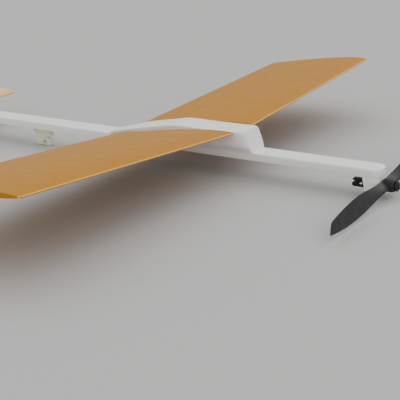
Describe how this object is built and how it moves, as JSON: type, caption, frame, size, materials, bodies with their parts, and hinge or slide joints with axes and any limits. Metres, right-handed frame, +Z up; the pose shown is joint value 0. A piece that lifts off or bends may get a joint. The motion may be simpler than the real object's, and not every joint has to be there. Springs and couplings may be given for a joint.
{
  "type": "free-flight model aeroplane",
  "caption": "Rubber-powered model aeroplane: flat stick boom, raised saddle with plug-in dihedral wing panels, finned tail with trim tab, and a freewheeling propeller under the nose.",
  "frame": {"origin": "under the middle of the overall length, on the surface the model stands on", "axes": "+X towards the nose and propeller, +Y to port along the span, +Z up"},
  "size_m": [0.375, 0.409, 0.0684],
  "materials": {
    "white_plastic": "milky moulded, lightly glossy edges",
    "orange_skin": "smooth satin skin",
    "black_plastic": "satin black moulding",
    "brass_bush": "turned",
    "steel_wire": "bright drawn wire"
  },
  "bodies": {
    "airframe": {"fuselage_boom": "white_plastic", "nose_block": "white_plastic", "shaft_bush": "brass_bush", "rear_hook_bracket": "white_plastic", "rear_motor_peg": "steel_wire", "wing_saddle": "white_plastic", "saddle_base": "white_plastic", "saddle_screw_front": "steel_wire", "saddle_screw_rear": "steel_wire", "front_joiner_rod": "steel_wire", "rear_joiner_rod": "steel_wire", "tail_mount": "white_plastic", "tailplane": "orange_skin", "tail_cap": "white_plastic", "tail_screw_starboard": "steel_wire", "tail_screw_port": "steel_wire", "fin": "orange_skin", "rudder_hinge_pin": "steel_wire"},
    "port_wing_panel": {"port_wing": "orange_skin", "port_root_rib": "orange_skin"},
    "starboard_wing_panel": {"starboard_wing": "orange_skin", "starboard_root_rib": "orange_skin"},
    "shaft_assembly": {"propeller_shaft": "steel_wire", "motor_hook": "black_plastic", "thrust_washer": "steel_wire", "freewheel_clutch": "black_plastic", "shaft_collar": "black_plastic"},
    "propeller_blades": {"propeller": "black_plastic"},
    "rudder": {"rudder_tab": "orange_skin"}
  },
  "joints": [
    {"name": "shaft_spin", "type": "hinge", "parent": "airframe", "child": "shaft_assembly", "pos_m": [0.17, 0, 0.0069], "axis": [1, 0, 0], "continuous": true},
    {"name": "propeller_freewheel", "type": "hinge", "parent": "shaft_assembly", "child": "propeller_blades", "pos_m": [0.181, 0, 0.0069], "axis": [1, 0, 0], "continuous": true},
    {"name": "port_wing_pull", "type": "slide", "parent": "airframe", "child": "port_wing_panel", "axis": [0, 0.9975, 0.0707], "range_m": [0, 0.032]},
    {"name": "starboard_wing_pull", "type": "slide", "parent": "airframe", "child": "starboard_wing_panel", "axis": [0, -0.9975, 0.0707], "range_m": [0, 0.032]},
    {"name": "rudder_trim", "type": "hinge", "parent": "airframe", "child": "rudder", "pos_m": [-0.1764, 0, 0.0454], "axis": [0, 0, 1], "range_deg": [-25, 25]}
  ]
}
